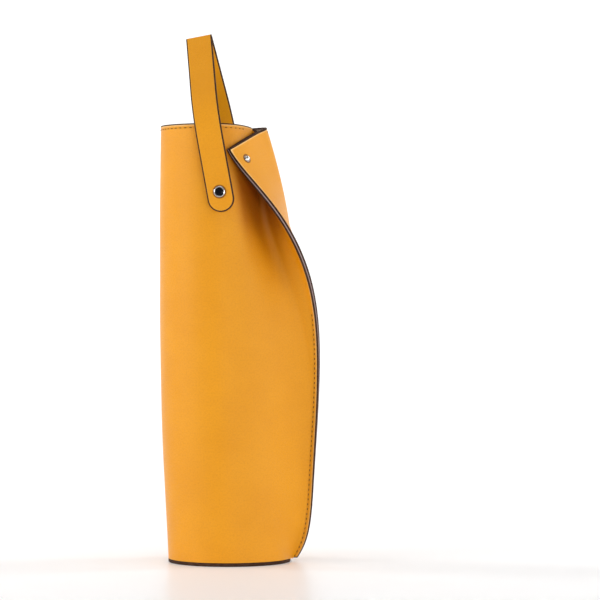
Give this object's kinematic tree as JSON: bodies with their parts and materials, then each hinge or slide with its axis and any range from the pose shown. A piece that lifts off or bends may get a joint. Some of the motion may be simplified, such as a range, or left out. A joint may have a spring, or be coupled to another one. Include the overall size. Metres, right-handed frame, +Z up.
{
  "type": "bottle carrier",
  "caption": "Tall soft leather carrier for one bottle, wrapped and stitched along a side fin, with a riveted folded corner, a round stiff base and a creased strap handle on a snap.",
  "frame": {"origin": "centre of the round base where it stands on the floor", "axes": "+Z up, -Y towards the front with the snap, +X towards the stitched fin seam"},
  "size_m": [0.131, 0.108, 0.432],
  "materials": {
    "leather": "mustard yellow coated leather, satin",
    "leather_edge": "base leather with a dark painted edge",
    "lining": "matt taupe lining",
    "board": "pressed fibre board",
    "thread": "brown sewing thread",
    "chrome": "polished chrome",
    "steel": "plated steel",
    "black_enamel": "gloss black"
  },
  "bodies": {
    "carrier": {"outer_leather": "leather", "body_lining": "lining", "base_leather": "leather_edge", "base_board": "board", "base_lining": "lining", "side_seam_thread": "thread", "rim_thread": "thread", "snap_stud": "steel", "snap_post": "steel", "rear_rivet_cap": "chrome", "rear_rivet_post": "steel", "rear_rivet_washer": "steel", "flap_rivet_cap": "chrome", "flap_rivet_post": "steel", "flap_rivet_back": "steel"},
    "strap_rear": {"strap_rear_outer": "leather", "strap_rear_inner": "leather"},
    "strap_front": {"strap_front_outer": "leather", "strap_front_inner": "leather", "snap_cap": "chrome", "snap_inlay": "black_enamel", "snap_socket": "steel"}
  },
  "joints": [
    {"name": "handle_swivel", "type": "hinge", "parent": "carrier", "child": "strap_rear", "pos_m": [-0.00612, -0.04935, 0.30067], "axis": [0.0968, 0.9953, -0.001], "range_deg": [-130, 120]},
    {"name": "snap_release", "type": "hinge", "parent": "strap_rear", "child": "strap_front", "pos_m": [-0.02517, 0.00022, 0.43005], "axis": [-0.979, 0.095, -0.1805], "range_deg": [0, 100]}
  ]
}
